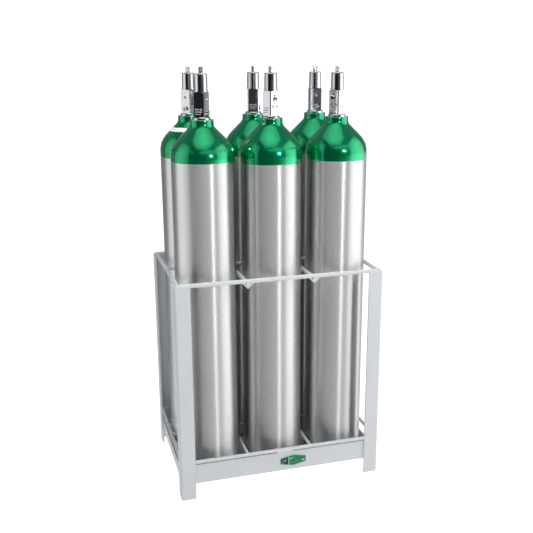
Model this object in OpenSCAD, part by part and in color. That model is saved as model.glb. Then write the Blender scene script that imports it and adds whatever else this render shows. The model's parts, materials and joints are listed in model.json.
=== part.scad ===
// Six-place rack of steel angle and round rod, holding six size E medical oxygen cylinders.
// Each cylinder is an aluminium shell with a post valve, and lifts straight up out of its cell.
// Millimetres. +Z is up, +X is to the right along the front, the front faces -Y.
// Origin: centre of the rack's footprint, on the floor.

/* [Rack] */
// Width across the outer faces of the posts, left to right
rack_w = 386; // [382:1:420]
// Depth across the outer faces of the posts, front to rear
rack_d = 262; // [256:1:290]
// Height of the corner posts
post_h = 407.4; // [300:0.1:500]
// Leg of the corner angle
post_leg = 27; // [20:0.2:40]
// Thickness of the angle legs and the rails
steel_t = 3; // [2:0.5:5]
// Diameter of the round rod in the upper guide frame
top_rod_d = 7.4; // [5:0.1:8]
// Diameter of the round rod in the lower guide frame
rod_d = 6.4; // [5:0.1:7]
// Height of the centre of the lower guide frame above the floor
lower_rod_z = 73; // [71:0.2:120]
// Distance that the lower middle rod lies below the lower guide frame
lower_middle_drop = 2.5; // [0:0.1:3]
// Height of the underside of the rails above the floor
rail_z = 30; // [15:0.5:33]
// Height of the front and rear rails
rail_h = 37.5; // [22:0.5:38]
// Height of the left and right rails
side_rail_h = 21.5; // [12:0.5:24]
// Depth of the inward shelf of each rail
shelf_w = 28; // [20:1:34]
// Diameter of the wire in the hooks that tie the upper dividers to the ring
hook_wire_d = 3.6; // [3:0.2:5]
// Half of the width of each hook
hook_half = 8.6; // [8:0.2:14]
// Width of the badge plate on the front rail
badge_w = 50; // [30:1:80]
// Height of the middle of the badge plate
badge_h = 21; // [12:1:26]
// Height of the badge plate's two ends
badge_end_h = 11; // [6:1:20]
// Distance of the badge plate to the right of the rack's middle
badge_x = 22; // [-60:1:60]

/* [Cylinders] */
// Outside diameter of a cylinder
shell_d = 111.3; // [108:0.1:112]
// Height of a cylinder from its base to the top of its neck
neck_top = 650.5; // [648:0.5:700]
// Outside diameter of the neck
neck_d = 40.8; // [36:0.2:46]
// Height above the base where the shoulder starts to curve in
shoulder_z = 585.5; // [540:0.5:587]
// Radius of the shoulder's curve
shoulder_r = 45; // [40:1:52]
// Thickness of the cylinder's wall
wall_t = 5.6; // [4:0.1:8]
// Thickness of the base
base_t = 9; // [6:0.5:14]
// Radius of the rounded edge around the base
base_r = 11; // [6:0.5:16]
// Left to right distance between cylinders
pitch_x = 123.8; // [122:0.1:126]
// Front to rear distance between the two rows
pitch_y = 119.2; // [119:0.1:125]

/* [Valve] */
// Width of the valve block's outlet face
block_w = 21.6; // [20:0.1:26]
// Distance from the outlet face to the face behind it
block_l = 20.8; // [20:0.1:26]
// Height of the valve block above its flange
block_h = 42.5; // [38:0.5:50]
// Diameter of the round flange under the block
flange_d = 30.8; // [28:0.1:34]
// Thickness of the flange
flange_t = 4.5; // [3:0.5:8]
// Diameter of the round bonnet on top of the block
bonnet_d = 22.4; // [20:0.1:26]
// Height of the bonnet
bonnet_h = 30; // [26:0.5:36]
// Diameter of the ring around the bottom of the bonnet
bonnet_ring_d = 24.6; // [22:0.1:28]
// Diameter of the stem
stem_d = 8; // [6:0.1:9]
// Length of stem that stands out of the bonnet
stem_out = 11; // [8:0.5:16]
// Width across the two flats of the stem
stem_flats = 6; // [5:0.1:7]
// Diameter of the outlet port
port_d = 7; // [6:0.1:8]
// Length of the outlet port behind its countersink
port_depth = 4; // [2:0.5:5]
// Diameter of the two index pin holes
pin_hole_d = 4.75; // [4.5:0.05:5]
// Length of the index pin holes behind their countersinks
pin_hole_depth = 5.6; // [4:0.1:7]
// Radius from the outlet to the index pin holes
pin_hole_r = 14.3; // [14:0.1:15]
// Angle of each index pin hole from straight down
pin_hole_angle = 18; // [6:1:30]
// Diameter of the relief plug
relief_d = 9.2; // [7:0.1:10]
// Length of relief plug that stands out of the block
relief_out = 3; // [2:0.5:5]

/* [Valve directions] */
// Direction the front left outlet faces, counter-clockwise from +X
turn_front_left = 145; // [-180:1:180]
// Direction the front middle outlet faces
turn_front_middle = -61; // [-180:1:180]
// Direction the front right outlet faces
turn_front_right = -148; // [-180:1:180]
// Direction the rear left outlet faces
turn_rear_left = 43; // [-180:1:180]
// Direction the rear middle outlet faces
turn_rear_middle = 167; // [-180:1:180]
// Direction the rear right outlet faces
turn_rear_right = 86; // [-180:1:180]

/* [Hidden] */
$fn = 64;
// Half sizes of the rack and the planes of its rods
half_w = rack_w / 2;
half_d = rack_d / 2;
rod_r = rod_d / 2;
top_rod_r = top_rod_d / 2;
top_rod_z = post_h;
lower_middle_z = lower_rod_z - lower_middle_drop;
lower_divider_z = lower_middle_z - rod_d;
rail_x = half_w - steel_t;
rail_y = half_d - steel_t;
// The upper ring lies inside the post legs, the lower one between their edges
top_x = rail_x - top_rod_r;
top_y = rail_y - top_rod_r;
lower_x = half_w - rod_r;
lower_y = half_d - rod_r;
divider_x = pitch_x / 2;
floor_z = rail_z + steel_t;
hook_r = hook_wire_d / 2;
hook_drop = hook_half - 0.4;
hook_point_z = top_rod_z - top_rod_r - hook_drop;
hook_bite = 0.4;
top_divider_z = hook_point_z + (hook_r + top_rod_r) * sqrt(2) - hook_bite;
weld_pad_w = 30;
weld_pad_x = 6;
badge_t = 1.2;

// Shell profile
shell_r = shell_d / 2;
neck_r = neck_d / 2;
neck_fillet = 12;
neck_bore_r = 9.5;
inner_r = shell_r - wall_t;
inner_base_r = 12;
shoulder_x = shell_r - shoulder_r;
inner_shoulder_z = shoulder_z - 2;
inner_shoulder_r = inner_r - shoulder_x;
tangent_x = shoulder_x + shoulder_r * cos(45);
tangent_z = shoulder_z + shoulder_r * sin(45);
inner_tangent_x = shoulder_x + inner_shoulder_r * cos(45);
inner_tangent_z = inner_shoulder_z + inner_shoulder_r * sin(45);
cone_sum = tangent_x + tangent_z;
inner_cone_sum = inner_tangent_x + inner_tangent_z;
fillet_z = cone_sum - neck_r - neck_fillet + neck_fillet * sqrt(2);
fillet_low_x = neck_r + neck_fillet - neck_fillet * cos(45);
fillet_low_z = fillet_z - neck_fillet * sin(45);
dish_r = 150;
dish_depth = 5;

// Valve heights above the cylinder's base
block_z = neck_top + flange_t;
block_top = block_z + block_h;
bonnet_top = block_top + bonnet_h;
outlet_z = block_top - 13;
relief_z = outlet_z - 22;
seat_z = outlet_z - 2.5;
spigot_r = neck_bore_r - 0.1;
spigot_len = 24;
inlet_r = 2;
passage_r = 1.5;
relief_hole_r = 1.2;
chamber_r = 3.4;
chamber_h = 6;
thread_r = 4.5;
running_gap = 0.05;
boss_r = 8.4;
boss_h = 7.5;
bonnet_wall_r = 8.5;
bonnet_lid = 7;
block_edge = 1.4;
port_sink = 1.2;
port_sink_r = 6.2;
pin_sink = 0.5;
pin_sink_r = 3.1;
block_cone_h = 3.6;
relief_deep = 4;
dimple_r = 3.2;
dimple_depth = 2.4;

// Seat plug and stem heights
seat_travel = 1.5;
plug_top = block_top + boss_h - 2;
slot_w = 2.6;
slot_depth = 7;
blade_t = 2;
blade_w = 6.4;
blade_bottom = plug_top - slot_depth + seat_travel + 0.5;
shaft_bottom = plug_top + seat_travel + 0.5;
shaft_r = 3;
collar_r = 7.4;
collar_h = 4;
collar_top = bonnet_top - bonnet_lid - 0.3;
flats_z = bonnet_top + 1.5;
flats_h = stem_out - 1.5;
cross_hole_r = 1.4;

COLUMN = [-1, 0, 1, -1, 0, 1];
ROW = [-1, -1, -1, 1, 1, 1];
TURN = [turn_front_left, turn_front_middle, turn_front_right,
        turn_rear_left, turn_rear_middle, turn_rear_right];
PLACES = ["front_left", "front_middle", "front_right",
          "rear_left", "rear_middle", "rear_right"];
PIECES = ["shell", "valve_body", "bonnet", "stem", "seat_plug", "relief_plug"];
RACK = ["post_front_left", "post_front_right", "post_rear_left", "post_rear_right",
        "top_rod_front", "top_rod_rear", "top_rod_left", "top_rod_right",
        "top_rod_middle", "top_divider_left", "top_divider_right",
        "lower_rod_front", "lower_rod_rear", "lower_rod_left", "lower_rod_right",
        "lower_rod_middle", "lower_divider_left", "lower_divider_right",
        "rail_front", "rail_rear", "rail_left", "rail_right",
        "floor_plate", "badge_plate"];

white_paint = [0.9, 0.91, 0.93];
bare_aluminium = [0.78, 0.79, 0.79];
chrome_plate = [0.85, 0.86, 0.88];
yellow_brass = [0.78, 0.62, 0.3];
badge_green = [0.05, 0.45, 0.25];

// Square piece with its lower corner at a point
module block(corner, size) translate(corner) cube(size);

// Angle section with its rounded outer corner at the origin
module angle_section() {
    translate([steel_t, 0]) square([post_leg - steel_t, steel_t]);
    translate([0, steel_t]) square([steel_t, post_leg - steel_t]);
    intersection() {
        translate([steel_t, steel_t]) circle(steel_t);
        square([steel_t, steel_t]);
    }
}

// Corner post, placed for the front left and mirrored to the others
module post() {
    color(white_paint)
        translate([-half_w, -half_d, 0])
            linear_extrude(post_h) angle_section();
}

module post_front_left() post();
module post_front_right() mirror([1, 0, 0]) post();
module post_rear_left() mirror([0, 1, 0]) post();
module post_rear_right() mirror([1, 0, 0]) mirror([0, 1, 0]) post();

// Round rod that runs left to right, centred on x = 0
module rod_across(length, y, z, r = rod_r) {
    color(white_paint)
        translate([-length / 2, y, z])
            rotate([0, 90, 0]) cylinder(h = length, r = r);
}

// Round rod that runs front to rear, centred on y = 0
module rod_along(length, x, z, r = rod_r) {
    color(white_paint)
        translate([x, length / 2, z])
            rotate([90, 0, 0]) cylinder(h = length, r = r);
}

module top_rod_front() rod_across(2 * rail_x, -top_y, top_rod_z, top_rod_r);
module top_rod_rear() rod_across(2 * rail_x, top_y, top_rod_z, top_rod_r);
module top_rod_left() rod_along(2 * (top_y - top_rod_r), -top_x, top_rod_z, top_rod_r);
module top_rod_right() rod_along(2 * (top_y - top_rod_r), top_x, top_rod_z, top_rod_r);
module top_rod_middle() rod_across(2 * (top_x - top_rod_r), 0, top_rod_z, top_rod_r);

module lower_rod_front() rod_across(2 * (half_w - post_leg), -lower_y, lower_rod_z);
module lower_rod_rear() rod_across(2 * (half_w - post_leg), lower_y, lower_rod_z);
module lower_rod_left() rod_along(2 * (half_d - post_leg), -lower_x, lower_rod_z);
module lower_rod_right() rod_along(2 * (half_d - post_leg), lower_x, lower_rod_z);
module lower_rod_middle() rod_across(2 * (lower_x - rod_r), 0, lower_middle_z);
module lower_divider_left() rod_along(2 * (rail_y - steel_t), -divider_x, lower_divider_z);
module lower_divider_right() rod_along(2 * (rail_y - steel_t), divider_x, lower_divider_z);

// One straight arm of a hook, up and outward from the hook's point
module hook_arm(side) {
    rotate([0, side * 45, 0])
        cylinder(h = hook_drop * sqrt(2) + hook_r, r = hook_r);
}

// V of wire under the ring rod, with the divider's end lying in it
module hook(y) {
    translate([0, y, hook_point_z])
        union() {
            sphere(hook_r);
            hook_arm(-1);
            hook_arm(1);
        }
}

// Upper divider rod with a hook at each end, notched where the ring and middle rods cross it
module top_divider(x) {
    color(white_paint)
        translate([x, 0, 0])
            difference() {
                union() {
                    rod_along(2 * rail_y, 0, top_divider_z, top_rod_r);
                    hook(-top_y);
                    hook(top_y);
                }
                for (y = [-top_y, 0, top_y]) rod_across(rack_w, y, top_rod_z, top_rod_r);
            }
}

module top_divider_left() top_divider(-divider_x);
module top_divider_right() top_divider(divider_x);

// Front rail: upright face, inward shelf and a short weld pad under the lower ring
module rail_front() {
    color(white_paint)
        union() {
            block([-rail_x, -rail_y, rail_z], [2 * rail_x, steel_t, rail_h]);
            block([-rail_x, -rail_y, rail_z], [2 * rail_x, shelf_w, steel_t]);
            block([weld_pad_x - weld_pad_w / 2, -rail_y, rail_z],
                  [weld_pad_w, steel_t, lower_rod_z - rod_r - rail_z]);
        }
}

module rail_rear() {
    color(white_paint)
        union() {
            block([-rail_x, rail_y - steel_t, rail_z], [2 * rail_x, steel_t, rail_h]);
            block([-rail_x, rail_y - shelf_w, rail_z], [2 * rail_x, shelf_w, steel_t]);
        }
}

// Left rail, placed between the front and rear rails
module rail_left() {
    face = rail_y - steel_t;
    shelf = rail_y - shelf_w;
    color(white_paint)
        union() {
            block([-rail_x, -shelf, rail_z], [shelf_w, 2 * shelf, steel_t]);
            block([-rail_x, -face, floor_z], [steel_t, 2 * face, side_rail_h - steel_t]);
        }
}

module rail_right() mirror([1, 0, 0]) rail_left();

// Flat plate that the cylinders stand on, between the four shelves and level with them
module floor_plate() {
    half_x = rail_x - shelf_w;
    half_y = rail_y - shelf_w;
    color(white_paint)
        block([-half_x, -half_y, rail_z], [2 * half_x, 2 * half_y, steel_t]);
}

// Plain six-sided badge plate on the front rail
module badge_plate() {
    long = badge_w / 2;
    high = badge_h / 2;
    low = badge_end_h / 2;
    color(badge_green)
        translate([badge_x, -rail_y, rail_z + rail_h / 2])
            rotate([90, 0, 0])
                linear_extrude(badge_t)
                    polygon([[-long, -low], [0, -high], [long, -low],
                             [long, low], [0, high], [-long, low]]);
}

// Puts a piece of cylinder number i in its cell, turned to its valve's direction
module at_cylinder(i) {
    translate([COLUMN[i] * pitch_x, ROW[i] * pitch_y / 2, floor_z])
        rotate([0, 0, TURN[i]]) children();
}

// Half outline of the outside of the shell
module shell_outside() {
    square([shell_r - base_r, base_r]);
    translate([shell_r - base_r, base_r])
        intersection() {
            circle(base_r);
            translate([0, -base_r]) square([base_r, base_r]);
        }
    translate([0, base_r]) square([shell_r, shoulder_z - base_r]);
    translate([shoulder_x, shoulder_z])
        intersection() {
            circle(shoulder_r);
            translate([-shoulder_x, 0]) square([shell_r, shoulder_r]);
        }
    polygon([[0, shoulder_z], [shoulder_x, shoulder_z], [tangent_x, tangent_z],
             [fillet_low_x, fillet_low_z], [0, fillet_low_z]]);
    difference() {
        polygon([[0, fillet_low_z], [fillet_low_x, fillet_low_z],
                 [neck_r + neck_fillet, fillet_z], [0, fillet_z]]);
        translate([neck_r + neck_fillet, fillet_z]) circle(neck_fillet);
    }
    translate([0, fillet_z]) square([neck_r, neck_top - fillet_z]);
}

// Half outline of the gas space
module shell_inside() {
    low = base_t + inner_base_r;
    translate([0, base_t]) square([inner_r - inner_base_r, inner_base_r]);
    translate([inner_r - inner_base_r, low])
        intersection() {
            circle(inner_base_r);
            translate([0, -inner_base_r]) square([inner_base_r, inner_base_r]);
        }
    translate([0, low]) square([inner_r, inner_shoulder_z - low]);
    translate([shoulder_x, inner_shoulder_z])
        intersection() {
            circle(inner_shoulder_r);
            translate([-shoulder_x, 0]) square([inner_r, inner_shoulder_r]);
        }
    polygon([[0, inner_shoulder_z], [shoulder_x, inner_shoulder_z],
             [inner_tangent_x, inner_tangent_z],
             [neck_bore_r, inner_cone_sum - neck_bore_r],
             [0, inner_cone_sum - neck_bore_r]]);
    translate([0, inner_tangent_z]) square([neck_bore_r, neck_top]);
}

// Aluminium cylinder with a dished base and a bored neck
module shell() {
    color(bare_aluminium)
        rotate_extrude($fn = 96)
            difference() {
                shell_outside();
                shell_inside();
                intersection() {
                    translate([0, dish_depth - dish_r]) circle(dish_r);
                    translate([0, -1]) square([shell_r, dish_depth + 1]);
                }
            }
}

// Round hole along X, between two distances from the valve's axis
module port(from, to, radius, z, side = 0) {
    translate([from, side, z])
        rotate([0, 90, 0]) cylinder(h = to - from, r = radius);
}

// Conical countersink in the outlet face, a little proud so that it cuts cleanly
module sink(depth, low_r, high_r, z, side = 0) {
    slope = (high_r - low_r) / depth;
    translate([block_l / 2 - depth, side, z])
        rotate([0, 90, 0])
            cylinder(h = depth + 0.1, r1 = low_r, r2 = high_r + 0.1 * slope);
}

// Block with its upright edges broken and its top turned to a cone
module valve_block() {
    wide = block_w / 2;
    long = block_l / 2;
    translate([0, 0, block_z])
        intersection() {
            linear_extrude(block_h)
                polygon([[block_edge - long, -wide], [long - block_edge, -wide],
                         [long, block_edge - wide], [long, wide - block_edge],
                         [long - block_edge, wide], [block_edge - long, wide],
                         [-long, wide - block_edge], [-long, block_edge - wide]]);
            union() {
                cylinder(h = block_h - block_cone_h, r = block_w);
                translate([0, 0, block_h - block_cone_h])
                    cylinder(h = block_cone_h, r1 = block_w * 0.78, r2 = block_w * 0.5);
            }
        }
}

// Valve body: screwed spigot, flange, block, boss, gas passages and index holes
module valve_body() {
    face = block_l / 2;
    pin_z = outlet_z - pin_hole_r * cos(pin_hole_angle);
    pin_y = pin_hole_r * sin(pin_hole_angle);
    low = neck_top - spigot_len;
    color(chrome_plate)
        difference() {
            union() {
                translate([0, 0, low]) cylinder(h = spigot_len, r = spigot_r);
                translate([0, 0, neck_top]) cylinder(h = flange_t - 1.5, r = flange_d / 2);
                translate([0, 0, block_z - 1.5])
                    cylinder(h = 1.5, r1 = flange_d / 2, r2 = flange_d / 2 - 1.2);
                valve_block();
                translate([0, 0, block_top]) cylinder(h = boss_h, r = boss_r);
            }
            translate([0, 0, low - 1]) cylinder(h = seat_z - low + 2, r = inlet_r);
            translate([0, 0, seat_z]) cylinder(h = chamber_h, r = chamber_r);
            translate([0, 0, seat_z + chamber_h])
                cylinder(h = block_top + boss_h, r = thread_r);
            port(0, face, passage_r, outlet_z);
            port(face - port_sink - port_depth, face + 1, port_d / 2, outlet_z);
            sink(port_sink, port_d / 2, port_sink_r, outlet_z);
            for (side = [-pin_y, pin_y]) {
                port(face - pin_sink - pin_hole_depth, face + 1, pin_hole_d / 2, pin_z, side);
                sink(pin_sink, pin_hole_d / 2, pin_sink_r, pin_z, side);
            }
            port(-face, 0, relief_hole_r, relief_z);
            port(-face - 1, relief_deep - face, relief_d / 2, relief_z);
            translate([-face - 0.01, 0, outlet_z])
                rotate([0, 90, 0])
                    cylinder(h = dimple_depth, r1 = dimple_r, r2 = 0.4);
        }
}

// Round bonnet with a base ring and a groove, screwed down over the boss
module bonnet() {
    tall = bonnet_h - bonnet_lid;
    color(chrome_plate)
        translate([0, 0, block_top])
            difference() {
                union() {
                    cylinder(h = 1.8, r = bonnet_ring_d / 2);
                    cylinder(h = bonnet_h - 1.2, r = bonnet_d / 2);
                    translate([0, 0, bonnet_h - 1.2])
                        cylinder(h = 1.2, r1 = bonnet_d / 2, r2 = bonnet_d / 2 - 1.2);
                }
                translate([0, 0, bonnet_h - 5.4])
                    difference() {
                        cylinder(h = 1.6, r = bonnet_d);
                        translate([0, 0, -1]) cylinder(h = 4, r = bonnet_d / 2 - 1);
                    }
                translate([0, 0, -1]) cylinder(h = tall + 1, r = bonnet_wall_r);
                cylinder(h = bonnet_h + 1, r = stem_d / 2 + running_gap);
            }
}

// Stem: driving blade, shaft, collar and the end with two flats
module stem() {
    color(chrome_plate)
        difference() {
            union() {
                translate([-blade_w / 2, -blade_t / 2, blade_bottom])
                    cube([blade_w, blade_t, shaft_bottom - blade_bottom + 1]);
                translate([0, 0, shaft_bottom])
                    cylinder(h = collar_top - shaft_bottom, r = shaft_r);
                translate([0, 0, collar_top - collar_h])
                    cylinder(h = collar_h, r = collar_r);
                translate([0, 0, collar_top])
                    cylinder(h = bonnet_top + stem_out - collar_top, r = stem_d / 2);
            }
            for (side = [0, 180])
                rotate([0, 0, side])
                    translate([stem_flats / 2, -stem_d, flats_z])
                        cube([stem_d, 2 * stem_d, flats_h + 1]);
            translate([-stem_d, 0, bonnet_top + stem_out - 3.6])
                rotate([0, 90, 0]) cylinder(h = 2 * stem_d, r = cross_hole_r);
        }
}

// Threaded seat plug with a soft nose, slotted for the stem's blade
module seat_plug() {
    nose = chamber_r - 0.6;
    color(yellow_brass)
        difference() {
            union() {
                translate([0, 0, seat_z]) cylinder(h = chamber_h + 1, r = nose);
                translate([0, 0, seat_z + chamber_h + 0.3])
                    cylinder(h = plug_top - seat_z - chamber_h - 0.3,
                             r = thread_r - running_gap);
            }
            translate([-thread_r - 1, -slot_w / 2, plug_top - slot_depth])
                cube([2 * thread_r + 2, slot_w, slot_depth + 1]);
        }
}

// Pressure relief plug in the face opposite the outlet, with two vent holes
module relief_plug() {
    face = block_l / 2;
    color(yellow_brass)
        translate([-face - relief_out, 0, relief_z])
            rotate([0, 90, 0])
                difference() {
                    cylinder(h = relief_out + relief_deep, r = relief_d / 2);
                    translate([0, 0, -1]) cylinder(h = 3, r = relief_d / 4);
                    translate([-relief_d, 0, relief_out / 2])
                        rotate([0, 90, 0]) cylinder(h = 2 * relief_d, r = 0.8);
                }
}

// One module for each sub-part of each cylinder
module cylinder_front_left_shell() at_cylinder(0) shell();
module cylinder_front_left_valve_body() at_cylinder(0) valve_body();
module cylinder_front_left_bonnet() at_cylinder(0) bonnet();
module cylinder_front_left_stem() at_cylinder(0) stem();
module cylinder_front_left_seat_plug() at_cylinder(0) seat_plug();
module cylinder_front_left_relief_plug() at_cylinder(0) relief_plug();
module cylinder_front_middle_shell() at_cylinder(1) shell();
module cylinder_front_middle_valve_body() at_cylinder(1) valve_body();
module cylinder_front_middle_bonnet() at_cylinder(1) bonnet();
module cylinder_front_middle_stem() at_cylinder(1) stem();
module cylinder_front_middle_seat_plug() at_cylinder(1) seat_plug();
module cylinder_front_middle_relief_plug() at_cylinder(1) relief_plug();
module cylinder_front_right_shell() at_cylinder(2) shell();
module cylinder_front_right_valve_body() at_cylinder(2) valve_body();
module cylinder_front_right_bonnet() at_cylinder(2) bonnet();
module cylinder_front_right_stem() at_cylinder(2) stem();
module cylinder_front_right_seat_plug() at_cylinder(2) seat_plug();
module cylinder_front_right_relief_plug() at_cylinder(2) relief_plug();
module cylinder_rear_left_shell() at_cylinder(3) shell();
module cylinder_rear_left_valve_body() at_cylinder(3) valve_body();
module cylinder_rear_left_bonnet() at_cylinder(3) bonnet();
module cylinder_rear_left_stem() at_cylinder(3) stem();
module cylinder_rear_left_seat_plug() at_cylinder(3) seat_plug();
module cylinder_rear_left_relief_plug() at_cylinder(3) relief_plug();
module cylinder_rear_middle_shell() at_cylinder(4) shell();
module cylinder_rear_middle_valve_body() at_cylinder(4) valve_body();
module cylinder_rear_middle_bonnet() at_cylinder(4) bonnet();
module cylinder_rear_middle_stem() at_cylinder(4) stem();
module cylinder_rear_middle_seat_plug() at_cylinder(4) seat_plug();
module cylinder_rear_middle_relief_plug() at_cylinder(4) relief_plug();
module cylinder_rear_right_shell() at_cylinder(5) shell();
module cylinder_rear_right_valve_body() at_cylinder(5) valve_body();
module cylinder_rear_right_bonnet() at_cylinder(5) bonnet();
module cylinder_rear_right_stem() at_cylinder(5) stem();
module cylinder_rear_right_seat_plug() at_cylinder(5) seat_plug();
module cylinder_rear_right_relief_plug() at_cylinder(5) relief_plug();

// Drawing
post_front_left();
post_front_right();
post_rear_left();
post_rear_right();
top_rod_front();
top_rod_rear();
top_rod_left();
top_rod_right();
top_rod_middle();
top_divider_left();
top_divider_right();
lower_rod_front();
lower_rod_rear();
lower_rod_left();
lower_rod_right();
lower_rod_middle();
lower_divider_left();
lower_divider_right();
rail_front();
rail_rear();
rail_left();
rail_right();
floor_plate();
badge_plate();
cylinder_front_left_shell();
cylinder_front_left_valve_body();
cylinder_front_left_bonnet();
cylinder_front_left_stem();
cylinder_front_left_seat_plug();
cylinder_front_left_relief_plug();
cylinder_front_middle_shell();
cylinder_front_middle_valve_body();
cylinder_front_middle_bonnet();
cylinder_front_middle_stem();
cylinder_front_middle_seat_plug();
cylinder_front_middle_relief_plug();
cylinder_front_right_shell();
cylinder_front_right_valve_body();
cylinder_front_right_bonnet();
cylinder_front_right_stem();
cylinder_front_right_seat_plug();
cylinder_front_right_relief_plug();
cylinder_rear_left_shell();
cylinder_rear_left_valve_body();
cylinder_rear_left_bonnet();
cylinder_rear_left_stem();
cylinder_rear_left_seat_plug();
cylinder_rear_left_relief_plug();
cylinder_rear_middle_shell();
cylinder_rear_middle_valve_body();
cylinder_rear_middle_bonnet();
cylinder_rear_middle_stem();
cylinder_rear_middle_seat_plug();
cylinder_rear_middle_relief_plug();
cylinder_rear_right_shell();
cylinder_rear_right_valve_body();
cylinder_rear_right_bonnet();
cylinder_rear_right_stem();
cylinder_rear_right_seat_plug();
cylinder_rear_right_relief_plug();
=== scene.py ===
import bmesh
import bpy
import json
import math
import random
from mathutils import Matrix, Quaternion, Vector


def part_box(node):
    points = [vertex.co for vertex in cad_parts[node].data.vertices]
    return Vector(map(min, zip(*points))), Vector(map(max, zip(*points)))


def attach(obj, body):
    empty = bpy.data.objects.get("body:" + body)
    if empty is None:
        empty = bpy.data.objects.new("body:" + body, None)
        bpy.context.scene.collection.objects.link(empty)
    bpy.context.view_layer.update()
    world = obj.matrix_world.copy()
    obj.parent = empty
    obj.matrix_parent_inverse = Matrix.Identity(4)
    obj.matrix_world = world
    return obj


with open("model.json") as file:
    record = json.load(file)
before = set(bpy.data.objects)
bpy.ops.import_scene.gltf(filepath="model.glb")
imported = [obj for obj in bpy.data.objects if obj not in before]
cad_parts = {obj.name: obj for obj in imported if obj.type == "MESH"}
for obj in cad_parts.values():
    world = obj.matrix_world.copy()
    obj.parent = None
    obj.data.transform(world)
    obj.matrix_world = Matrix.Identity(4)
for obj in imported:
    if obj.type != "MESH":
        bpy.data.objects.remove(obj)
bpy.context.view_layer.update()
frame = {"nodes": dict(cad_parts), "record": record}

MM = 0.001
UP = Vector((0, 0, 1))
COLUMNS = ("left", "middle", "right")
ROWS = ("front", "rear")
CYLINDERS = [f"{row}_{column}" for row in ROWS for column in COLUMNS]


# ---------------------------------------------------------------- places read from the frame

def node_box(node):
    """Lowest corner, highest corner and middle of a CAD node."""
    low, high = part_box(node)
    return low, high, (low + high) / 2


def mount(name):
    """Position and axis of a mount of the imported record."""
    for entry in frame["record"]["mounts"]:
        if entry["name"] == name:
            return Vector(entry["pos_m"]), Vector(entry["axis"]).normalized()
    raise KeyError(name)


def cylinder_axis(name):
    """Middle of a cylinder's footprint, on the level of its base."""
    low, _, middle = node_box(f"cylinder_{name}_shell")
    return Vector((middle.x, middle.y, low.z))


# ---------------------------------------------------------------- mesh tools

def new_object(name, mesh_builder):
    """Makes a mesh object at the world's origin from a bmesh."""
    mesh = bpy.data.meshes.new(name)
    bmesh.ops.recalc_face_normals(mesh_builder, faces=mesh_builder.faces)
    mesh_builder.to_mesh(mesh)
    mesh_builder.free()
    piece = bpy.data.objects.new(name, mesh)
    bpy.context.scene.collection.objects.link(piece)
    return piece


def finish_piece(piece, body, finish, smooth=True):
    """Gives a new piece its body and its material."""
    piece.data.materials.append(MATERIALS[finish])
    for face in piece.data.polygons:
        face.use_smooth = smooth
    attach(piece, body)


# ---------------------------------------------------------------- node tools

class Nodes:
    """A short way to write a node tree: each call adds a node and links its inputs."""

    def __init__(self, tree):
        self.tree = tree
        tree.nodes.clear()

    def add(self, kind, settings=None, **inputs):
        """A node. Settings are its properties; an input is named, or numbered as i0, i1 and so on."""
        node = self.tree.nodes.new(kind)
        for key, value in (settings or {}).items():
            setattr(node, key, value)
        for key, value in inputs.items():
            socket = node.inputs[int(key[1:])] if key[0] == "i" and key[1:].isdigit() else node.inputs[key]
            self.put(socket, value)
        return node

    def put(self, socket, value):
        """Links a node or a socket to an input, or sets the input's own value."""
        if isinstance(value, bpy.types.NodeSocket):
            self.tree.links.new(value, socket)
        elif isinstance(value, bpy.types.Node):
            self.tree.links.new(value.outputs[0], socket)
        else:
            socket.default_value = value

    def math(self, operation, a, b=0.0):
        return self.add("ShaderNodeMath", {"operation": operation}, i0=a, i1=b).outputs[0]

    def position(self, scale=(1, 1, 1)):
        """The object's own coordinates, in metres, stretched by scale."""
        coordinates = self.add("ShaderNodeTexCoord").outputs["Object"]
        return self.add("ShaderNodeMapping", Vector=coordinates, Scale=scale).outputs[0]

    def noise(self, scale, stretch=(1, 1, 1), detail=3.0, roughness=0.55):
        texture = self.add("ShaderNodeTexNoise", Vector=self.position(stretch), Scale=scale,
                           Detail=detail, Roughness=roughness)
        return texture.outputs[0]

    def ramp(self, value, low, high, low_result, high_result):
        """Maps a value from one range to another."""
        node = self.add("ShaderNodeMapRange", {"clamp": True}, Value=value)
        for key, number in zip((1, 2, 3, 4), (low, high, low_result, high_result)):
            node.inputs[key].default_value = number
        return node.outputs[0]

    def colors(self, value, *stops):
        """A colour ramp. Each stop is a place and a colour."""
        node = self.add("ShaderNodeValToRGB", Fac=value)
        elements = node.color_ramp.elements
        while len(elements) < len(stops):
            elements.new(0.5)
        for element, (place, color) in zip(elements, stops):
            element.position = place
            element.color = (*color, 1)
        return node.outputs[0]

    def bump(self, height, distance, strength=1.0):
        return self.add("ShaderNodeBump", Height=height, Distance=distance, Strength=strength).outputs[0]


def surface(name, build, **sockets):
    """A material with one Principled shader. build(nodes) returns what is linked to it."""
    material = bpy.data.materials.new(name)
    material.use_nodes = True
    nodes = Nodes(material.node_tree)
    shader = nodes.add("ShaderNodeBsdfPrincipled")
    for key, value in {**sockets, **build(nodes)}.items():
        nodes.put(shader.inputs[key.replace("_", " ")], value)
    output = nodes.add("ShaderNodeOutputMaterial")
    material.node_tree.links.new(shader.outputs[0], output.inputs[0])
    return material


# ---------------------------------------------------------------- materials

def powder_coat():
    """White powder coat: a fine orange peel, a slight unevenness and dull dust."""
    def build(n):
        peel = n.noise(1400, detail=2)
        cloud = n.noise(9, detail=4)
        fine = n.noise(160, detail=4)
        shade = n.math("ADD", n.math("MULTIPLY", cloud, 0.6), n.math("MULTIPLY", fine, 0.4))
        return {
            "Base_Color": n.colors(shade, (0.3, (0.572, 0.590, 0.607)), (0.55, (0.607, 0.625, 0.642)),
                                   (0.75, (0.634, 0.647, 0.66))),
            "Roughness": n.ramp(fine, 0.3, 0.7, 0.34, 0.5),
            "Normal": n.bump(peel, 0.00025, 0.35),
        }
    return surface("powder_coat", build, Specular_IOR_Level=0.45)


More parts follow.
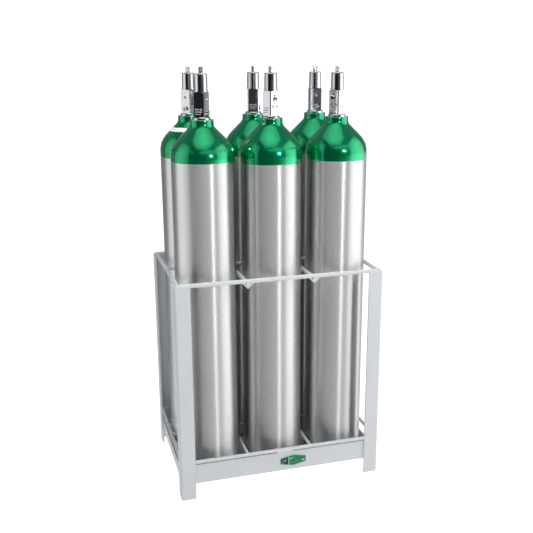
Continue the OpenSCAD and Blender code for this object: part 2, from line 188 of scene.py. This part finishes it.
def brushed_aluminium():
    """Aluminium turned on a lathe: fine rings around the wall spread each reflection up and down."""
    def build(n):
        rings = n.noise(900, stretch=(0.02, 0.02, 1), detail=2)
        grain = n.noise(420, stretch=(0.5, 0.5, 1.6), detail=3)
        cloud = n.noise(14, stretch=(1, 1, 0.4), detail=3)
        tint = n.math("ADD", n.math("MULTIPLY", grain, 0.7), n.math("MULTIPLY", cloud, 0.3))
        tangent = n.add("ShaderNodeTangent", {"direction_type": "RADIAL", "axis": "Z"}).outputs[0]
        return {
            "Base_Color": n.colors(tint, (0.3, (0.74, 0.75, 0.74)), (0.5, (0.86, 0.865, 0.86)),
                                   (0.7, (0.96, 0.965, 0.96))),
            "Roughness": n.ramp(grain, 0.3, 0.7, 0.40, 0.46),
            "Normal": n.bump(rings, 0.00002, 0.5),
            "Tangent": tangent,
        }
    return surface("brushed_aluminium", build, Metallic=1.0, Anisotropic=1.0, Anisotropic_Rotation=0.25)


def green_enamel():
    """Glossy green enamel over metal: a deep body, a tinted sheen and a clear smooth top."""
    def build(n):
        peel = n.noise(260, detail=2)
        cloud = n.noise(40, detail=3)
        return {
            "Base_Color": n.colors(cloud, (0.35, (0.001, 0.41, 0.155)), (0.65, (0.002, 0.47, 0.185))),
            "Roughness": n.ramp(cloud, 0.3, 0.7, 0.15, 0.20),
            "Coat_Normal": n.bump(peel, 0.0002, 0.12),
        }
    return surface("green_enamel", build, Metallic=0.85, Coat_Weight=1.0, Coat_Roughness=0.04, Coat_IOR=1.42)


def chrome():
    """Bright chrome plate with light handling marks."""
    def build(n):
        smear = n.noise(220, stretch=(1, 1, 0.3), detail=4)
        wave = n.noise(90, detail=1)
        return {
            "Base_Color": n.colors(smear, (0.3, (0.80, 0.81, 0.83)), (0.7, (0.90, 0.91, 0.92))),
            "Roughness": n.ramp(smear, 0.35, 0.75, 0.05, 0.13),
            "Normal": n.bump(wave, 0.0003, 0.1),
        }
    return surface("chrome", build, Metallic=1.0)


def ground_steel():
    """Steel ground on a lathe."""
    def build(n):
        rings = n.noise(2500, stretch=(0.1, 0.1, 1), detail=2)
        return {
            "Base_Color": n.colors(rings, (0.3, (0.62, 0.63, 0.65)), (0.7, (0.78, 0.79, 0.80))),
            "Roughness": n.ramp(rings, 0.3, 0.7, 0.16, 0.3),
            "Normal": n.bump(rings, 0.00003, 0.5),
        }
    return surface("ground_steel", build, Metallic=1.0)


def dull_brass():
    """Bare brass, darker where it has tarnished."""
    def build(n):
        tarnish = n.noise(500, detail=4)
        return {
            "Base_Color": n.colors(tarnish, (0.35, (0.42, 0.30, 0.13)), (0.65, (0.72, 0.56, 0.28))),
            "Roughness": n.ramp(tarnish, 0.3, 0.7, 0.42, 0.22),
        }
    return surface("dull_brass", build, Metallic=1.0)


def etched_grey():
    """Marks etched into chrome: dull light grey, uneven along their edges."""
    def build(n):
        patch = n.noise(1500, detail=3)
        return {
            "Base_Color": n.colors(patch, (0.35, (0.34, 0.35, 0.38)), (0.65, (0.58, 0.60, 0.64))),
            "Roughness": n.ramp(patch, 0.3, 0.7, 0.45, 0.65),
        }
    return surface("etched_grey", build, Metallic=0.2)


def printed_ink(name, dark, light, **sockets):
    """Screen-printed ink on the badge, slightly cloudy."""
    def build(n):
        cloud = n.noise(900, detail=3)
        return {
            "Base_Color": n.colors(cloud, (0.35, dark), (0.65, light)),
            "Roughness": n.ramp(cloud, 0.3, 0.7, 0.22, 0.32),
        }
    return surface(name, build, **sockets)


def label_paper():
    """White coated paper with a faint fibre."""
    def build(n):
        fibre = n.noise(1200, stretch=(1, 1, 0.4), detail=4)
        return {
            "Base_Color": n.colors(fibre, (0.3, (0.86, 0.86, 0.85)), (0.7, (0.94, 0.94, 0.93))),
            "Roughness": n.ramp(fibre, 0.3, 0.7, 0.35, 0.5),
            "Normal": n.bump(fibre, 0.00005, 0.3),
        }
    return surface("label_paper", build, Specular_IOR_Level=0.5)


MATERIALS = {
    "rack_paint": powder_coat(),
    "aluminium": brushed_aluminium(),
    "green_enamel": green_enamel(),
    "chrome": chrome(),
    "steel": ground_steel(),
    "brass": dull_brass(),
    "etched": etched_grey(),
    "paper": label_paper(),
    "ink": printed_ink("dark_print", (0.004, 0.010, 0.010), (0.012, 0.030, 0.028)),
    "pale_print": printed_ink("pale_print", (0.52, 0.72, 0.60), (0.70, 0.86, 0.76)),
    "teal_print": printed_ink("teal_print", (0.06, 0.20, 0.16), (0.10, 0.30, 0.22)),
    "green_print": printed_ink("green_print", (0.0, 0.13, 0.045), (0.0, 0.20, 0.07), Specular_IOR_Level=0.5),
}


def dress_nodes():
    """Puts each slot's material on the CAD nodes that take it."""
    for part in frame["record"]["subparts"]:
        for holder in frame["nodes"][part["node"]].material_slots:
            holder.material = MATERIALS[part["material_slot"]]


dress_nodes()


# ---------------------------------------------------------------- green enamel of the shoulders

# Thickness of the enamel, and the outline of the shell it lies on, with heights over the base
SKIN = 0.16 * MM
SHELL_R = 55.65 * MM
SHOULDER_R = 45 * MM
SHOULDER_Z = 585.5 * MM
NECK_R = 20.4 * MM
NECK_TOP = 650.5 * MM
NECK_FILLET = 12 * MM
# Height of the enamel's lower edge over each cylinder's base, in millimetres
PAINT_LINE = {"front_left": 580.3, "front_middle": 573.8, "front_right": 575.4,
              "rear_left": 575.0, "rear_middle": 574.5, "rear_right": 575.5}


def shoulder_profile(low):
    """Radius and height of the enamel, from the paint line up to the top of the neck."""
    half = math.pi / 4
    middle_r = SHELL_R - SHOULDER_R
    tangent_r = middle_r + SHOULDER_R * math.cos(half)
    tangent_z = SHOULDER_Z + SHOULDER_R * math.sin(half)
    fillet_z = tangent_r + tangent_z - NECK_R - NECK_FILLET + NECK_FILLET * math.sqrt(2)
    points = [(SHELL_R - SKIN, low), (SHELL_R + SKIN * 0.6, low + SKIN * 0.3),
              (SHELL_R + SKIN, low + 3 * SKIN)]
    points += [(SHELL_R + SKIN, low + (SHOULDER_Z - low) * i / 4) for i in range(1, 4)]
    outer = SHOULDER_R + SKIN
    for i in range(33):
        turn = half * i / 32
        points.append((middle_r + outer * math.cos(turn), SHOULDER_Z + outer * math.sin(turn)))
    inner = NECK_FILLET - SKIN
    for i in range(13):
        turn = half * (1 - i / 12)
        points.append((NECK_R + NECK_FILLET - inner * math.cos(turn), fillet_z - inner * math.sin(turn)))
    points += [(NECK_R + SKIN, NECK_TOP - 1.2 * MM), (NECK_R - 0.2 * MM, NECK_TOP + SKIN * 0.6),
               (NECK_R - 1.5 * MM, NECK_TOP + SKIN)]
    return points


def enamel(name):
    """The enamel of one cylinder, a thin lathe-turned skin around its shoulder and neck."""
    steps = 160
    origin = cylinder_axis(name)
    builder = bmesh.new()
    rings = []
    for radius, height in shoulder_profile(PAINT_LINE[name] * MM):
        ring = []
        for i in range(steps):
            turn = 2 * math.pi * i / steps
            place = Vector((radius * math.cos(turn), radius * math.sin(turn), height))
            ring.append(builder.verts.new(origin + place))
        rings.append(ring)
    for lower, upper in zip(rings, rings[1:]):
        for i in range(steps):
            j = (i + 1) % steps
            builder.faces.new((lower[i], lower[j], upper[j], upper[i]))
    piece = new_object(f"enamel_{name}", builder)
    finish_piece(piece, f"cylinder_{name}", "green_enamel")


for cylinder in CYLINDERS:
    enamel(cylinder)


# ---------------------------------------------------------------- raised bars and beads

def upright_frame(origin, right, above):
    """A matrix whose x axis runs right, y axis above and z axis out of a surface."""
    right = right.normalized()
    out = right.cross(above).normalized()
    above = out.cross(right)
    return Matrix((
        (right.x, above.x, out.x, origin.x),
        (right.y, above.y, out.y, origin.y),
        (right.z, above.z, out.z, origin.z),
        (0, 0, 0, 1)))


def add_bar(builder, place, width, height, thick, sunk=0.1 * MM):
    """A raised bar with sloping sides, its underside just under the surface it lies on."""
    slope = min(thick, width * 0.3, height * 0.3)
    low = [(-width / 2, -height / 2), (width / 2, -height / 2),
           (width / 2, height / 2), (-width / 2, height / 2)]
    high = [(x - math.copysign(slope, x), y - math.copysign(slope, y)) for x, y in low]
    base = [builder.verts.new(place @ Vector((x, y, -sunk))) for x, y in low]
    crown = [builder.verts.new(place @ Vector((x, y, thick))) for x, y in high]
    builder.faces.new(base[::-1])
    builder.faces.new(crown)
    for i in range(4):
        j = (i + 1) % 4
        builder.faces.new((base[i], base[j], crown[j], crown[i]))


def add_bead(builder, start, end, radius, sides=10):
    """A weld bead between two points: a rippled run with rounded ends."""
    along = end - start
    across = along.orthogonal().normalized()
    other = along.normalized().cross(across)
    steps = max(10, round(along.length / (0.45 * MM)))
    rings = []
    for i in range(steps + 1):
        t = 0.02 + 0.96 * i / steps
        round_end = math.sqrt(1 - abs(2 * t - 1) ** max(2.0, along.length / radius))
        ripple = 1 + 0.12 * math.sin(i * 2.1)
        reach = radius * round_end * ripple
        middle = start + along * t
        rings.append([builder.verts.new(middle + (across * math.cos(turn) + other * math.sin(turn)) * reach)
                      for turn in (2 * math.pi * k / sides for k in range(sides))])
    for lower, upper in zip(rings, rings[1:]):
        for k in range(sides):
            j = (k + 1) % sides
            builder.faces.new((lower[k], lower[j], upper[j], upper[k]))
    builder.faces.new(rings[0][::-1])
    builder.faces.new(rings[-1])


# ---------------------------------------------------------------- welds of the rack

# Thickness of the posts' steel, and how far a bead runs along a ring rod inside a post
PLATE = 3 * MM
POST_BEAD = 20 * MM
# Radii of the beads, the widest first
CORNER_BEAD_R = 1.7 * MM
UPPER_BEAD_R = 1.5 * MM
MIDDLE_BEAD_R = 1.4 * MM
RAIL_BEAD_R = 1.3 * MM
DIVIDER_BEAD_R = 1.3 * MM
THIN_BEAD_R = 1.2 * MM
# Half the lengths of the beads on the lower ring's rods, at rods' ends and where rods cross
LOWER_HALF = 1.8 * MM
END_HALF = 2 * MM
CROSSING_HALF = 2.4 * MM


def weld_beads():
    """Beads where the rods, rails and posts of the rack are welded together."""
    post_low, post_high, _ = node_box("post_front_right")
    rail_low, rail_high, _ = node_box("rail_front")
    side_low, _, _ = node_box("top_rod_right")
    _, front_high, front_middle = node_box("top_rod_front")
    cross_low, cross_high, cross_middle = node_box("top_rod_middle")
    _, _, lower_middle = node_box("lower_rod_front")
    lower_side_low, _, lower_side_middle = node_box("lower_rod_right")
    mid_low, mid_high, _ = node_box("lower_rod_middle")
    _, divider_high, divider_middle = node_box("lower_divider_right")
    rod_r = (cross_high.z - cross_low.z) / 2
    top = bmesh.new()
    bottom = bmesh.new()

    def bead(builder, middle, half, radius):
        """A bead that reaches half its length to either side of its middle."""
        add_bead(builder, middle - Vector(half), middle + Vector(half), radius)

    for sx in (-1, 1):
        for sy in (-1, 1):
            # The ring's rods inside the top of each post, and where they meet
            corner = Vector((sx * (post_high.x - PLATE), sy * (-post_low.y - PLATE), post_high.z))
            add_bead(top, corner, corner - Vector((sx * POST_BEAD, 0, 0)), UPPER_BEAD_R)
            add_bead(top, corner, corner - Vector((0, sy * POST_BEAD, 0)), UPPER_BEAD_R)
            meet = Vector((sx * side_low.x, sy * -front_high.y, front_middle.z))
            add_bead(top, meet - UP * 1.6 * MM, meet + UP * 1.8 * MM, CORNER_BEAD_R)
            # The ends of the front and rear rails, then the lower ring's rods from above and below
            edge_x = sx * post_low.x
            face_y = sy * -(post_low.y + PLATE)
            add_bead(bottom, Vector((edge_x, face_y, rail_low.z + 1 * MM)),
                     Vector((edge_x, face_y, rail_high.z - 1 * MM)), RAIL_BEAD_R)
            joint = Vector((edge_x, sy * -lower_middle.y, lower_middle.z))
            for drop in (-1, 1):
                bead(bottom, joint + UP * drop * rod_r * 0.75, (0, LOWER_HALF, 0), THIN_BEAD_R)
            side_joint = Vector((sx * lower_side_middle.x, sy * lower_side_low.y, lower_side_middle.z))
            for drop in (-1, 1):
                bead(bottom, side_joint + UP * drop * rod_r * 0.75, (LOWER_HALF, 0, 0), THIN_BEAD_R)
        for sy in (-1, 1):
            # The ends of the middle rods and of the lower dividers
            bead(top, Vector((sx * cross_high.x, sy * rod_r * 0.85, cross_middle.z)),
                 (0, 0, END_HALF), UPPER_BEAD_R)
            bead(bottom, Vector((sx * mid_high.x, sy * rod_r * 0.85, mid_high.z - rod_r)),
                 (0, 0, END_HALF), MIDDLE_BEAD_R)
            for side in (-1, 1):
                foot = Vector((sx * divider_middle.x + side * rod_r * 0.9,
                               sy * divider_high.y - sy * 0.4 * MM, divider_middle.z))
                bead(bottom, foot, (0, 0, END_HALF), DIVIDER_BEAD_R)
        for side in (-1, 1):
            # The dividers across the middle rods
            crossing_x = sx * divider_middle.x + side * rod_r * 0.9
            bead(top, Vector((crossing_x, 0, cross_low.z)), (0, CROSSING_HALF, 0), THIN_BEAD_R)
            bead(bottom, Vector((crossing_x, 0, mid_low.z)), (0, CROSSING_HALF, 0), THIN_BEAD_R)
    for name, builder in (("weld_beads_top", top), ("weld_beads_bottom", bottom)):
        finish_piece(new_object(name, builder), "rack", "rack_paint")


weld_beads()


# ---------------------------------------------------------------- stamped marks and labels on the shoulders

# Height of the ring of strokes on the shoulder's round, and the strokes' spacing, width and thickness
STAMP_TURN = math.radians(20)
STROKE_STEP = 3.9 * MM
STROKE_WIDE = 1.7 * MM
STROKE_THICK = 0.75 * MM


def shoulder_place(name, around, turn):
    """A frame on the round of a shoulder: around from -Y towards +X, turn up from level."""
    origin = cylinder_axis(name)
    away = Vector((math.sin(around), -math.cos(around), 0))
    right = Vector((math.cos(around), math.sin(around), 0))
    out = away * math.cos(turn) + Vector((0, 0, math.sin(turn)))
    radius = SHELL_R - SHOULDER_R
    point = origin + away * radius + Vector((0, 0, SHOULDER_Z)) + out * (SHOULDER_R + SKIN)
    return upright_frame(point, right, out.cross(right))


def stamped_marks(name, seed):
    """A ring of small plain strokes standing for the marks stamped into the shoulder."""
    draw = random.Random(seed)
    builder = bmesh.new()
    around = math.radians(draw.uniform(-180, -170))
    step = STROKE_STEP / (SHELL_R - SHOULDER_R + SHOULDER_R * math.cos(STAMP_TURN))
    left_in_group = 7
    while around < math.radians(172):
        around += step * draw.uniform(0.9, 1.1)
        if left_in_group == 0:
            around += step * draw.uniform(1.5, 4.5)
            left_in_group = draw.randint(3, 9)
            continue
        left_in_group -= 1
        tall = draw.choice((4.4, 4.4, 2.0)) * MM
        add_bar(builder, shoulder_place(name, around, STAMP_TURN), STROKE_WIDE, tall, STROKE_THICK)
        if draw.random() < 0.55:
            shift = draw.choice((-1.9, 0.0, 1.9)) * MM / SHOULDER_R
            place = shoulder_place(name, around + step * 0.33, STAMP_TURN + shift)
            add_bar(builder, place, 1.9 * MM, 1.4 * MM, STROKE_THICK)
    piece = new_object(f"stamped_marks_{name}", builder)
    finish_piece(piece, f"cylinder_{name}", "green_enamel", smooth=False)


for number, cylinder in enumerate(CYLINDERS):
    stamped_marks(cylinder, 40 + number)


def cone_point(name, around, rise):
    """A point on the sloping part of a shoulder, a distance up the slope from its lower end."""
    half = math.pi / 4
    radius = SHELL_R - SHOULDER_R + SHOULDER_R * math.cos(half) - rise * math.sin(half)
    height = SHOULDER_Z + SHOULDER_R * math.sin(half) + rise * math.cos(half)
    away = Vector((math.sin(around), -math.cos(around), 0))
    out = (away + UP).normalized()
    return cylinder_axis(name) + away * radius + Vector((0, 0, height)) + out * SKIN, out


def shoulder_label(name, first, last, low, high):
    """A blank white paper band around part of the slope, with rounded ends and three ink bars.

    It runs from first to last, in degrees, and from low to high, measured up the slope.
    """
    thick = 0.25 * MM
    columns = 48
    rows = 6
    builder = bmesh.new()
    skins = []
    for lift in (-0.05 * MM, thick):
        grid = []
        for i in range(columns + 1):
            around = math.radians(first + (last - first) * i / columns)
            end = min(i, columns - i) / columns * 14
            squeeze = math.sqrt(1 - (1 - min(end, 1)) ** 2) * 0.5 + 0.5
            column = []
            for j in range(rows + 1):
                rise = (low + high) / 2 + (high - low) * (j / rows - 0.5) * squeeze
                point, out = cone_point(name, around, rise)
                column.append(builder.verts.new(point + out * lift))
            grid.append(column)
        skins.append(grid)
    for grid in skins:
        for i in range(columns):
            for j in range(rows):
                builder.faces.new((grid[i][j], grid[i + 1][j], grid[i + 1][j + 1], grid[i][j + 1]))
    under, over = skins
    rim = [(i, 0) for i in range(columns)] + [(columns, j) for j in range(rows)]
    rim += [(i, rows) for i in range(columns, 0, -1)] + [(0, j) for j in range(rows, 0, -1)]
    for (i, j), (k, m) in zip(rim, rim[1:] + rim[:1]):
        builder.faces.new((under[i][j], under[k][m], over[k][m], over[i][j]))
    piece = new_object(f"shoulder_label_{name}", builder)
    finish_piece(piece, f"cylinder_{name}", "paper")
    ink = bmesh.new()
    for around, rise, width in ((first + 12, high - 2.6 * MM, 5.5), (first + 34, low + 4.4 * MM, 8.0),
                                (first + 52, low + 5.0 * MM, 4.0)):
        point, out = cone_point(name, math.radians(around), rise)
        right = Vector((math.cos(math.radians(around)), math.sin(math.radians(around)), 0))
        add_bar(ink, upright_frame(point, right, out.cross(right)), width * MM, 1.2 * MM, thick + 0.06 * MM)
    piece = new_object(f"shoulder_label_marks_{name}", ink)
    finish_piece(piece, f"cylinder_{name}", "ink", smooth=False)


shoulder_label("rear_left", -102, -18, 7.5 * MM, 17.0 * MM)


# ---------------------------------------------------------------- plain marks on the valve blocks

BLOCK_W = 21.6 * MM
OUTLET_ABOVE_BLOCK = 29.5 * MM
# Each row of marks: height over the block's foot, height of its bars, widths of its bars, in millimetres
MARK_ROWS = ((13.0, 2.6, (4.6, 2.2, 4.4)), (8.9, 2.6, (2.6, 5.0, 3.2)), (5.2, 1.6, (6.0, 3.4)))


def valve_marks(name):
    """Rows of plain bars low on the two faces beside the outlet."""
    outlet, ahead = mount(f"outlet_{name}")
    axis = cylinder_axis(name)
    builder = bmesh.new()
    for side in (-1, 1):
        out = Vector((-ahead.y, ahead.x, 0)) * side
        right = UP.cross(out)
        foot = Vector((axis.x, axis.y, outlet.z - OUTLET_ABOVE_BLOCK)) + out * (BLOCK_W / 2)
        for height, tall, widths in MARK_ROWS:
            across = -7.0 * MM
            for width in widths:
                middle = foot + right * (across + width * MM / 2) + UP * height * MM
                add_bar(builder, upright_frame(middle, right, UP), width * MM, tall * MM, 0.12 * MM)
                across += (width + 0.9) * MM
    piece = new_object(f"valve_marks_{name}", builder)
    finish_piece(piece, f"cylinder_{name}", "etched", smooth=False)


for cylinder in CYLINDERS:
    valve_marks(cylinder)


# ---------------------------------------------------------------- badge

# Height of the badge's ends, the bare rim around its print, and the panels' thickness
BADGE_END = 11 * MM
BADGE_RIM = 0.7 * MM
PRINT_THICK = 0.22 * MM


def badge_print():
    """The badge's plain dark panel, its pale line and its pale and green bars."""
    low, high, middle = node_box("badge_plate")
    half = (high.x - low.x) / 2
    crest = (high.z - low.z) / 2

    def edge(across):
        """Half the badge's height, across from its middle."""
        return BADGE_END / 2 + (crest - BADGE_END / 2) * (1 - abs(across) / half)

    def panel_piece(name, left, right, inset, finish, thick):
        """A thin raised panel between left and right that follows the badge's outline."""
        builder = bmesh.new()
        steps = 8
        outline = [(left + (right - left) * i / steps, -1) for i in range(steps + 1)]
        outline += [(x, 1) for x, _ in reversed(outline)]
        rings = []
        for depth in (0.1 * MM, -thick * 0.7, -thick):
            shrink = 0.12 * MM if depth == -thick else 0.0
            ring = []
            for x, sign in outline:
                pulled = min(max(x, left + shrink), right - shrink)
                ring.append(builder.verts.new((middle.x + pulled, low.y + depth,
                                               middle.z + sign * (edge(x) - inset - shrink))))
            rings.append(ring)
        builder.faces.new(rings[0])
        builder.faces.new(rings[-1][::-1])
        for inner, outer in zip(rings, rings[1:]):
            for i in range(len(inner)):
                j = (i + 1) % len(inner)
                builder.faces.new((inner[i], inner[j], outer[j], outer[i]))
        finish_piece(new_object(name, builder), "rack", finish, smooth=False)

    # The dark panel ends, the pale line runs and the green panel starts at these parts of half the width
    panel_piece("badge_dark_panel", -half + BADGE_RIM, -half * 0.40, BADGE_RIM, "ink", PRINT_THICK)
    panel_piece("badge_line", -half * 0.385, -half * 0.355, 0.3 * MM, "pale_print", 0.24 * MM)
    panel_piece("badge_green_panel", -half * 0.34, half - BADGE_RIM, BADGE_RIM, "green_print", PRINT_THICK)

    def bars(name, finish, spots):
        """Small raised bars, all in one piece."""
        builder = bmesh.new()
        for across, up, width, tall in spots:
            spot = Vector((middle.x + across * MM, low.y - 0.2 * MM, middle.z + up * MM))
            place = upright_frame(spot, Vector((1, 0, 0)), UP)
            add_bar(builder, place, width * MM, tall * MM, 0.14 * MM)
        finish_piece(new_object(name, builder), "rack", finish, smooth=False)

    # Each bar: right of and above the badge's middle, width and height, in millimetres
    bars("badge_pale_bars", "pale_print", (
        (-6.2, 4.0, 3.2, 1.6), (-2.2, 4.9, 3.0, 1.6), (19.6, -1.2, 5.2, 2.0),
        (-16.0, 0.6, 2.0, 2.2), (-20.4, -2.6, 1.8, 1.8)))
    bars("badge_teal_bars", "teal_print", (
        (-19.6, 1.8, 3.4, 3.0), (-14.4, 3.4, 3.6, 1.2), (3.4, -3.4, 14.0, 1.2)))


badge_print()


# ---------------------------------------------------------------- stage, camera and lights

# Distances from the middle of the floor between which its glow grows to full white
FLOOR_NEAR = 0.45
FLOOR_FAR = 1.1
# Middles of the two dark parts of the room, turned from -Y towards +X
DARK_FRONT = math.radians(-47)
DARK_REAR = math.radians(-144)
# The photo's camera: its place in metres, its yaw, pitch and roll in degrees, and its lens
CAMERA_PLACE = (-0.38388, -1.37232, 0.77752)
CAMERA_TURN = (15.925, -14.93, -0.29)
CAMERA_LENS = 51.62


def stage_floor():
    """A plain white floor that takes a faint shadow, and a white backdrop behind it."""
    builder = bmesh.new()
    bmesh.ops.create_grid(builder, x_segments=8, y_segments=8, size=9)
    floor = new_object("stage_floor", builder)
    floor.location.z = -0.0004
    if floor.data.polygons[0].normal.z < 0:
        floor.data.flip_normals()

    def white(n):
        place = n.add("ShaderNodeVectorMath", {"operation": "LENGTH"}, i0=n.position()).outputs["Value"]
        return {
            "Base_Color": n.colors(n.noise(3, detail=2), (0.3, (0.44, 0.44, 0.44)),
                                   (0.7, (0.47, 0.47, 0.47))),
            "Emission_Strength": n.ramp(place, FLOOR_NEAR, FLOOR_FAR, 0.86, 1.05),
        }
    floor.data.materials.append(surface("floor_white", white, Roughness=0.9, Specular_IOR_Level=0.1,
                                        Emission_Color=(1, 1, 1, 1)))
    floor.visible_glossy = False
    builder = bmesh.new()
    bmesh.ops.create_uvsphere(builder, u_segments=48, v_segments=24, radius=8)
    dome = new_object("stage_backdrop", builder)
    material = bpy.data.materials.new("backdrop_white")
    material.use_nodes = True
    n = Nodes(material.node_tree)
    glow = n.add("ShaderNodeEmission", Color=(1, 1, 1, 1), Strength=1.1)
    material.node_tree.links.new(glow.outputs[0], n.add("ShaderNodeOutputMaterial").inputs[0])
    dome.data.materials.append(material)
    for flag in ("visible_diffuse", "visible_glossy", "visible_transmission",
                 "visible_volume_scatter", "visible_shadow"):
        setattr(dome, flag, False)


def camera():
    """The camera that the photo was taken with, as fitted."""
    yaw, pitch, roll = (math.radians(angle) for angle in CAMERA_TURN)
    data = bpy.data.cameras.new("camera")
    data.sensor_width = 36
    data.lens = CAMERA_LENS
    data.clip_end = 60
    holder = bpy.data.objects.new("camera", data)
    ahead = Vector((math.sin(yaw) * math.cos(pitch), math.cos(yaw) * math.cos(pitch), math.sin(pitch)))
    right = Vector((math.cos(yaw), -math.sin(yaw), 0))
    above = right.cross(ahead)
    right, above = (right * math.cos(roll) + above * math.sin(roll),
                    above * math.cos(roll) - right * math.sin(roll))
    holder.matrix_world = Matrix((
        (right.x, above.x, -ahead.x, CAMERA_PLACE[0]),
        (right.y, above.y, -ahead.y, CAMERA_PLACE[1]),
        (right.z, above.z, -ahead.z, CAMERA_PLACE[2]),
        (0, 0, 0, 1)))
    bpy.context.scene.collection.objects.link(holder)
    bpy.context.scene.camera = holder


def panel(name, centre, target, width, height, radiance, edge=0.35, turn=0.0,
          glossy=True, diffuse=True):
    """A soft box: a rectangle of light, brightest in its middle.

    It stands at centre, faces target and is width by height metres. edge is how much of the light
    is left at its edges, and turn rolls it, in degrees.
    """
    data = bpy.data.lights.new(name, "AREA")
    data.shape = "RECTANGLE"
    data.size = width
    data.size_y = height
    data.energy = radiance * math.pi * width * height
    data.use_nodes = True
    n = Nodes(data.node_tree)
    place = n.add("ShaderNodeNewGeometry").outputs["Parametric"]
    split = n.add("ShaderNodeSeparateXYZ", Vector=place)
    fall = 1.0
    for axis in (0, 1):
        off = n.math("ABSOLUTE", n.math("SUBTRACT", split.outputs[axis], 0.5))
        fall = n.math("MULTIPLY", fall, n.ramp(off, 0.1, 0.5, 1.0, edge))
    glow = n.add("ShaderNodeEmission", Strength=fall)
    data.node_tree.links.new(glow.outputs[0], n.add("ShaderNodeOutputLight").inputs[0])
    light = bpy.data.objects.new(name, data)
    light.location = centre
    light.rotation_mode = "QUATERNION"
    aim = (Vector(target) - Vector(centre)).to_track_quat("-Z", "Y")
    light.rotation_quaternion = Quaternion((0, 0, 1), math.radians(turn)) @ aim
    light.visible_camera = False
    light.visible_glossy = glossy
    light.visible_diffuse = diffuse
    bpy.context.scene.collection.objects.link(light)


def lights():
    """The soft boxes that the metal mirrors, two fills that it does not, and a small bright lamp."""
    panel("soft_top", (-0.14, -0.385, 1.67), (-0.14, -0.385, 0), 1.05, 1.6, 0.95, edge=0.5, turn=-15.9)
    panel("soft_right", (1.10, -0.46, 0.80), (0.0, -0.1, 0.80), 1.5, 2.0, 1.4, edge=0.5)
    panel("soft_left", (-1.22, 0.04, 0.80), (-0.124, 0.0, 0.80), 1.35, 2.0, 0.80, edge=0.45, diffuse=False)
    panel("front_high", (0.15, -1.5, 1.55), (0.0, 0.0, 0.62), 1.9, 0.5, 0.55, edge=0.5)
    panel("front_fill", (0.7, -2.6, 1.4), (0, 0, 0.3), 2.4, 2.0, 0.15, glossy=False)
    panel("top_fill", (-0.1, -0.35, 2.6), (-0.05, -0.1, 0), 1.2, 1.2, 18.0, glossy=False)
    data = bpy.data.lights.new("small_lamp", "POINT")
    data.shadow_soft_size = 0.06
    data.energy = 11
    lamp = bpy.data.objects.new("small_lamp", data)
    lamp.location = (0.334, -1.36, 0.98)
    lamp.visible_camera = False
    bpy.context.scene.collection.objects.link(lamp)


def surroundings():
    """The dim room that the metal reflects: grey, with two dark parts, over a white floor."""
    world = bpy.data.worlds.new("studio")
    world.use_nodes = True
    n = Nodes(world.node_tree)
    direction = n.add("ShaderNodeTexCoord").outputs["Generated"]
    split = n.add("ShaderNodeSeparateXYZ", Vector=direction)
    level = n.add("ShaderNodeVectorMath", {"operation": "MULTIPLY"}, i0=direction, i1=(1, 1, 0))
    level = n.add("ShaderNodeVectorMath", {"operation": "NORMALIZE"}, i0=level.outputs[0])
    side = 1.0
    for middle, narrow, wide in ((DARK_FRONT, 0.95, 0.1), (DARK_REAR, 0.975, 0.86)):
        ahead = n.add("ShaderNodeVectorMath", {"operation": "DOT_PRODUCT"}, i0=level.outputs[0],
                      i1=(math.sin(middle), -math.cos(middle), 0)).outputs["Value"]
        side = n.math("MULTIPLY", side, n.ramp(ahead, wide, narrow, 1.0, 0.0))
    # Towards +Y the room is grey even in its dark parts
    back = n.ramp(split.outputs[1], -0.3, 0.8, 0.0, 1.0)
    grey = n.math("MAXIMUM", back, n.math("MULTIPLY", side, 0.8))
    room = n.colors(grey, (0.0, (0.010, 0.011, 0.012)), (1.0, (0.16, 0.17, 0.19)))
    # The white floor reaches higher beside the dark parts than under them
    height = n.math("SUBTRACT", split.outputs[2], n.math("MULTIPLY", side, 0.26))
    below = n.ramp(height, -0.46, -0.27, 1.0, 0.0)
    shade = n.add("ShaderNodeMix", {"data_type": "RGBA"}, Factor=below)
    n.put(shade.inputs[6], room)
    shade.inputs[7].default_value = (1.12, 1.12, 1.11, 1)
    glow = n.add("ShaderNodeBackground", Color=shade.outputs[2], Strength=1.0)
    world.node_tree.links.new(glow.outputs[0], n.add("ShaderNodeOutputWorld").inputs[0])
    bpy.context.scene.world = world


stage_floor()
camera()
lights()
surroundings()
bpy.context.scene.view_settings.view_transform = "Standard"
bpy.context.scene.view_settings.look = "None"
